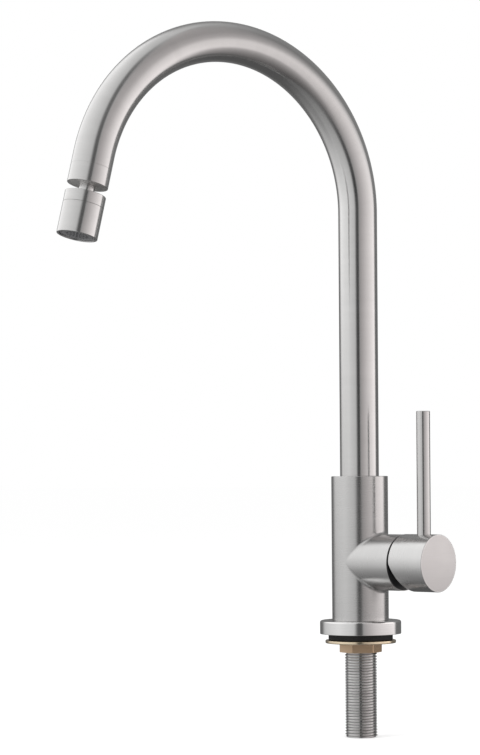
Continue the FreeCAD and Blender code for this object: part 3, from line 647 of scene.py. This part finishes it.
def stem_surface():
    """Neck and ball of the turning stem, with its flange and sleeve inside the collar."""
    _, low, high = extent("swivel_stem", outlet)
    ball_r, ball_h, neck_r, bore_r = 8.0 * MM, -10.7 * MM, 4.825 * MM, 2.6 * MM
    flange_h, flange_t, flange_radius, sleeve_r = 3.6 * MM, 2.4 * MM, 7.2 * MM, 5.5 * MM
    flat_r = math.sqrt(ball_r**2 - (ball_h - low) ** 2)
    middle = (low + high) / 2
    inside = outline((bore_r, middle, 0), (bore_r, low, eased), (flat_r, low, 0))
    ball = arc(ball_h, ball_r, -math.asin((ball_h - low) / ball_r), math.acos(neck_r / ball_r))
    rest = outline(
        (neck_r, ball[-1, 1], 0), (neck_r, flange_h, eased), (flange_radius, flange_h, eased),
        (flange_radius, flange_h + flange_t, eased), (sleeve_r, flange_h + flange_t, crisp),
        (sleeve_r, high, eased), (bore_r, high, eased), (bore_r, middle, 0),
    )
    return [turned(outlet, np.concatenate([inside, ball, rest]), 96)]


# Outlet head


def cap_surface():
    """A low cup, open below, with a round hole in its roof for the stem."""
    r, low, high = extent("head_cap", outlet)
    hole, bore, roof_t = 7.5 * MM, 11.0 * MM, 1.6 * MM
    roof, middle = high - roof_t, high - roof_t / 2
    rows = outline(
        (hole, middle, 0), (hole, roof, eased), (bore, roof, eased), (bore, low, crisp), (r, low, seam),
        (r, high, blunt), (hole, high, soft), (hole, middle, 0), steps=5,
    )
    return [turned(outlet, rows)]


def head_surface():
    """A sleeve with a spigot for the cap, a shoulder below the ball's seat and room for the aerator."""
    r, low, high = extent("head_shell", outlet)
    spigot, seat, room, shoulder = 10.95 * MM, 9.55 * MM, 11.0 * MM, 8.0 * MM
    seam_h, seat_h, shoulder_h = -12.675 * MM, -16.7 * MM, -18.3 * MM
    middle, mouth_edge = high - 1.0 * MM, 0.25 * MM
    rows = outline(
        (seat, middle, 0), (seat, seat_h, eased), (shoulder, seat_h, eased), (shoulder, shoulder_h, eased),
        (room, shoulder_h, eased), (room, low, mouth_edge), (r, low, soft), (r, seam_h, seam),
        (spigot, seam_h, seam), (spigot, high, crisp), (seat, high, crisp), (seat, middle, 0), steps=5,
    )
    return [turned(outlet, rows)]


def aerator_surface():
    r, low, high = extent("aerator_housing", outlet)
    bore, middle, outer_edge = 9.45 * MM, (low + high) / 2, 0.35 * MM
    rows = outline(
        (bore, middle, 0), (bore, low, soft), (r, low, outer_edge), (r, high, crisp), (bore, high, crisp),
        (bore, middle, 0), steps=5,
    )
    return [turned(outlet, rows)]


# Lever


def hub_surface():
    """A deep cup whose back is bevelled below its axis.

    The back stands at its own place plus the bevel's slope times a soft step: half of z + sqrt(z^2 + w^2).
    Here z is how far a point lies below the axis, and the width w is small, so that the back is flat above
    and slopes evenly below. The end disc is slightly crowned: it falls back by the crown's height times the
    square of its radius over the rim's.
    """
    r, back, front = extent("lever_hub", boss)
    columns, disc_rows = 192, 24
    angle = np.linspace(0, 2 * math.pi, columns + 1)
    ring = np.cos(angle)[:, None] * UP + np.sin(angle)[:, None] * boss[:3, 1]
    slope, width, crown = math.tan(hub_bevel), 0.8 * MM, 0.38 * MM
    disc_r, rim_x = r - 0.6 * MM, front - crown

    def back_at(radius):
        """Place and normal of the back's face round a circle of this radius."""
        below = -radius * np.cos(angle)
        root = np.sqrt(below**2 + width**2)
        rise = slope * (1 + below / root) / 2
        x = back + slope * (below + root) / 2
        points = radius * ring + x[:, None] * [1, 0, 0] + [0, 0, boss_z]
        return points, unit(-np.stack([np.ones_like(rise), np.zeros_like(rise), rise], -1))

    def circle(radius, x):
        return radius * ring + [x, 0, boss_z]

    inner, inner_face = back_at(hub_hollow_r)
    outer, outer_face = back_at(r)
    ahead = np.broadcast_to([1.0, 0, 0], ring.shape)
    hollow = rolled(
        np.stack([circle(0, hub_floor_x), circle(hub_hollow_r, hub_floor_x), inner, (inner + outer) / 2]),
        [-ahead, -ring, inner_face], [round_off, eased],
    )
    outside = rolled(
        np.stack([(inner + outer) / 2, outer, circle(r, rim_x), circle(disc_r, rim_x)]),
        [outer_face, ring, ahead], [fine, blunt], steps=5,
    )
    radius = np.linspace(disc_r, 0, disc_rows + 1)[:, None, None]
    fall = crown * (radius / disc_r) ** 2
    disc = radius * ring + [front, 0, boss_z] - fall * [1, 0, 0]
    level = np.stack([disc[..., 2], disc[..., 1]], -1)
    end = (disc, unit(ahead + 2 * crown * radius / disc_r**2 * ring), level)
    return {hub_steel: [sheet(*hollow, angle * r), sheet(*outside, angle * r)], disc_steel: [end]}


def rod_surface():
    """A round rod with a thinner stud below, which goes into the hub."""
    low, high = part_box("lever_rod")
    r, axis_x = (high.x - low.x) / 2, (high.x + low.x) / 2
    at = place((axis_x, 0, 0), UP, np.array([1.0, 0, 0]))
    stud_r, sunk = 3.0 * MM, 1.0 * MM
    seat = boss_z + extent("lever_hub", boss)[0] - sunk
    rows = outline(
        (0, low.z, 0), (stud_r, low.z, eased), (stud_r, seat, crisp), (r, seat, crisp),
        (r, high.z, round_off), (0, high.z, 0), steps=5,
    )
    return [turned(at, rows, 96)]


def gap_shade_ring_surface():
    """A flat black ring with a lip that goes into the boss's recess. Its black paints the shade in the gap
    between the boss and the lever's hub.
    """
    r, low, high = extent("boss_trim_ring", boss)
    inner, lip, lip_inner = 10.54 * MM, 14.95 * MM, 13.95 * MM
    middle, hollow_corner = low + 0.4 * MM, 0.02 * MM
    rows = outline(
        (lip_inner, middle, 0), (lip_inner, low, crisp), (lip, low, crisp), (lip, boss_end_x, hollow_corner),
        (r, boss_end_x, seam), (r, high, fine), (inner, high, crisp), (inner, boss_end_x, seam),
        (lip_inner, boss_end_x, hollow_corner), (lip_inner, middle, 0),
    )
    return [turned(boss, rows)]


skin("flange_plate", "tap_body", "brushed_stainless", {flange_steel_painted_bright: flange_surface()}, "base_flange")
skin("gasket_ring", "tap_body", "black_rubber", {rubber: gasket_surface()}, "deck_gasket")
skin("shank_tube", "tap_body", "turned_stainless", {shank_steel: shank_surface()}, "threaded_shank")
skin("washer_ring", "clamp_plate", "raw_brass", {washer_brass_painted_bright: washer_surface()}, "clamp_washer")
skin("nut_hexagon", "nut", "raw_brass", {nut_brass_painted_shade: nut_surface()}, "lock_nut")
skin("body_barrel", "tap_body", "brushed_stainless", {body_steel: body_surface()}, "body_shell")
# The black ring paints the shade in the gap between the boss and the lever's hub.
skin("gap_shade_ring", "tap_body", "black_plastic", {black_plastic: gap_shade_ring_surface()}, "boss_trim_ring")
skin("spout_gooseneck", "spout", "brushed_stainless", {spout_steel: spout_surface()}, "spout_tube")
skin("collar_end", "spout", "brushed_stainless", collar_surface(), "outlet_collar")
skin("stem_and_ball", "outlet_stem", "brushed_stainless", {outlet_steel: stem_surface()}, "swivel_stem")
skin("head_top", "outlet_head", "brushed_stainless", {outlet_steel: cap_surface()}, "head_cap")
skin("head_barrel", "outlet_head", "brushed_stainless", {outlet_steel: head_surface()}, "head_shell")
skin("aerator_lip", "outlet_head", "grey_plastic", {grey_plastic: aerator_surface()}, "aerator_housing")
skin("hub_cup", "lever", "brushed_stainless", hub_surface(), "lever_hub")
skin("rod_handle", "lever", "brushed_stainless", {spout_steel: rod_surface()}, "lever_rod")

# The CAD nodes that stay as they are get the plain finish of their material slot.
finish_of = {
    "brushed_stainless": plain_steel, "turned_stainless": plain_steel, "raw_brass": plain_brass,
    "black_rubber": rubber, "black_plastic": black_plastic, "grey_plastic": grey_plastic,
    "white_acetal": acetal, "white_ceramic": ceramic,
}
for part in frame["record"]["subparts"]:
    shown = frame["nodes"][part["node"]]
    shown.data.materials.clear()
    shown.data.materials.append(finish_of[part["material_slot"]])


# Studio

# The camera stands level at the height of the body's rim, this far round from the boss's own side.
view_degrees = 42
camera_distance = 1.6292
axis_right_of_centre = 0.07717
camera_roll = 0.0074  # how far the picture's upright leans, per unit of height
picture_height = 755
focal_pixels = 2523
horizon_below_centre = 99.5
sensor_width = 36.0

view_azimuth = math.radians(view_degrees)
camera_azimuth = view_degrees - 90


def smooth(x, low, high):
    """A smooth step from 0 at low to 1 at high."""
    t = np.clip((x - low) / (high - low), 0, 1)
    return t * t * (3 - 2 * t)


def blend(a, b, share):
    """The value that lies a share of the way from a to b."""
    return a + (b - a) * share


def studio_light(a, e):
    """Red, green and blue glow by degrees to the right of the camera, a, and above the level, e.

    A tall soft panel stands on the left and a lower one on the right, with a narrow dark gap between them
    where the camera is. Both mostly grow brighter away from the camera and fade towards the table. The room
    itself is dim: in front its light comes from the table and from above, and behind it grows with height.
    """
    left_far_edge, left_near_edge = (-144, -120), (-22, -9.5)
    right_near_edge, right_far_edge = (1, 5), (104, 117)

    # the left panel: its lower and upper part, a soft hot spot, its fading down and a darker far foot
    left = smooth(a, *left_far_edge) * (1 - smooth(a, *left_near_edge))
    left_level = blend(1.14 - 0.0001 * (a + 68) ** 2, 0.58 - 0.0065 * a, smooth(e, -20, 25))
    left_level += 0.06 * np.exp(-((a + 66) / 12) ** 2) * (1 - smooth(e, 5, 25))
    left_level *= np.exp(-(np.clip(15 - e, 0, None) / 60) ** 1.3)
    left_level *= 1 - 0.22 * smooth(-e, 18, 36) * smooth(-a, 55, 80)

    # the right panel: low down brighter to the right and darker under the table's edge, high up the reverse
    right = smooth(a, *right_near_edge) * (1 - smooth(a, *right_far_edge))
    table_edge = (0.2 + 0.25 * smooth(a, 40, 90)) * smooth(-e, 6, 22)
    right_level = (0.38 + 0.0101 * a) * (1 - table_edge) * np.exp(-np.clip(-12 - e, 0, None) / 40)
    right_level *= 1 - 0.25 * smooth(a, 85, 105) * smooth(-e, 12, 30)
    above_right = (0.58 - 0.36 * smooth(a, 60, 125)) * (1 - 0.2 * smooth(e, 40, 60))
    right_level = blend(right_level, above_right, smooth(e, 20 - 8 * smooth(a, 85, 105), 44))

    # the room in front and behind, and the ceiling over all
    front = 0.07 + 0.15 * smooth(-e, 12, 40) + 0.12 * smooth(e, 10, 45)
    behind = 0.12 + 0.07 * smooth(e, -30, 0) + 0.10 * smooth(e, 5, 25)
    room = blend(front, behind, smooth(np.abs(a), 40, 110))
    ceiling = 0.61 - 0.155 * np.sin(np.radians(a))
    walls = room + (left_level - room) * left + (right_level - room) * right
    level = blend(walls, ceiling, smooth(e, 58, 82))

    # the right panel is slightly warm
    warm = right * smooth(a, 0, 14) * (1 - 0.6 * smooth(a, 60, 90) * smooth(e, 10, 40))
    return np.stack([level, level * (1 - 0.05 * warm), level * (1 - 0.055 * warm)], -1)


def studio_tent(radius=0.7, centre_z=0.15):
    """A ball of studio light round the tap that only reflections see, with its glow by direction."""
    a, e = np.meshgrid(np.linspace(-180, 180, 721), np.linspace(-90, 90, 181))
    angle, lift = np.radians(a + camera_azimuth), np.radians(e)
    points = radius * np.stack([np.cos(angle) * np.cos(lift), np.sin(angle) * np.cos(lift), np.sin(lift)], -1)
    points[..., 2] += centre_z
    mesh = bpy.data.meshes.new("studio_tent")
    mesh.from_pydata(points.reshape(-1, 3).tolist(), [], cells(*a.shape).tolist())
    glow = np.concatenate([studio_light(a, e), np.ones_like(a)[..., None]], -1).astype(np.float32)
    mesh.color_attributes.new("glow", "FLOAT_COLOR", "POINT").data.foreach_set("color", glow.ravel())
    tent = bpy.data.objects.new("studio_tent", mesh)
    bpy.context.scene.collection.objects.link(tent)
    made = bpy.data.materials.new("studio glow")
    made.use_nodes = True
    made.node_tree.nodes.clear()
    colour = node(made, "ShaderNodeAttribute", attribute_name="glow").outputs["Color"]
    node(made, "ShaderNodeOutputMaterial", Surface=node(made, "ShaderNodeEmission", Color=colour).outputs[0])
    mesh.materials.append(made)
    tent.visible_camera = tent.visible_diffuse = tent.visible_transmission = tent.visible_shadow = False


def area_lamp(name, location, target, size, watts):
    """A soft rectangular lamp that lights matt surfaces and is itself unseen."""
    data = bpy.data.lights.new(name, "AREA")
    data.shape = "RECTANGLE"
    data.size, data.size_y = size
    data.energy = watts
    lamp = bpy.data.objects.new(name, data)
    ahead = unit(np.array(target) - np.array(location))
    turn = place(location, -ahead, unit(np.cross(UP, -ahead)))
    lamp.matrix_world = Matrix(turn.tolist())
    bpy.context.scene.collection.objects.link(lamp)
    lamp.visible_camera = lamp.visible_glossy = False


def pale_floor(half_width=30.0, gap=0.2 * MM, paint=0.86, glow=0.35):
    """A wide pale floor that shows white to the camera where no shadow falls on it."""
    z = cad_low.z - gap
    corners = [(x * half_width, y * half_width, z) for x, y in ((-1, -1), (1, -1), (1, 1), (-1, 1))]
    mesh = bpy.data.meshes.new("floor")
    mesh.from_pydata(corners, [], [(0, 1, 2, 3)])
    floor = bpy.data.objects.new("floor", mesh)
    bpy.context.scene.collection.objects.link(floor)
    made, shader = new_finish("pale floor", Roughness=0.9, Specular_IOR_Level=0.0)
    shader.inputs["Base Color"].default_value = (paint, paint, paint, 1)
    shader.inputs["Emission Color"].default_value = (1, 1, 1, 1)
    seen = node(made, "ShaderNodeLightPath").outputs["Is Camera Ray"]
    made.node_tree.links.new(spread(made, seen, 0, 1, 0, glow), shader.inputs["Emission Strength"])
    mesh.materials.append(made)
    floor.visible_glossy = False


def white_world(diffuse_level):
    """White to the camera and in reflections, and a plain level of light on everything else."""
    world = bpy.data.worlds.new("studio")
    bpy.context.scene.world = world
    world.use_nodes = True
    back, links = world.node_tree.nodes["Background"], world.node_tree.links
    path = node(world, "ShaderNodeLightPath")
    seen = path.outputs["Is Camera Ray"]
    for ray in ("Is Glossy Ray", "Is Transmission Ray"):
        either = node(world, "ShaderNodeMath", operation="MAXIMUM")
        links.new(seen, either.inputs[0])
        links.new(path.outputs[ray], either.inputs[1])
        seen = either.outputs[0]
    links.new(spread(world, seen, 0, 1, diffuse_level, 1), back.inputs["Strength"])
    back.inputs["Color"].default_value = (1, 1, 1, 1)


right = np.array([math.cos(view_azimuth), math.sin(view_azimuth), 0.0])
forward = np.array([-math.sin(view_azimuth), math.cos(view_azimuth), 0.0])
camera_data = bpy.data.cameras.new("camera")
camera_data.sensor_width = sensor_width
camera_data.lens = sensor_width * focal_pixels / picture_height
camera_data.shift_y = horizon_below_centre / picture_height
camera = bpy.data.objects.new("camera", camera_data)
bpy.context.scene.collection.objects.link(camera)
stand = UP * rim_z - right * axis_right_of_centre - forward * camera_distance
camera_x = unit(right - UP * camera_roll)
camera.matrix_world = Matrix(place(stand, -forward, camera_x).tolist())
bpy.context.scene.camera = camera

studio_tent()
pale_floor()
white_world(diffuse_level=0.75)
area_lamp("key", location=(-0.6, -1.5, 1.3), target=(0, -0.05, 0.15), size=(1.2, 1.2), watts=14)
area_lamp("fill", location=(1.5, -0.3, 0.9), target=(0, -0.05, 0.1), size=(1.0, 1.4), watts=7)
bpy.context.scene.view_settings.view_transform = "Standard"
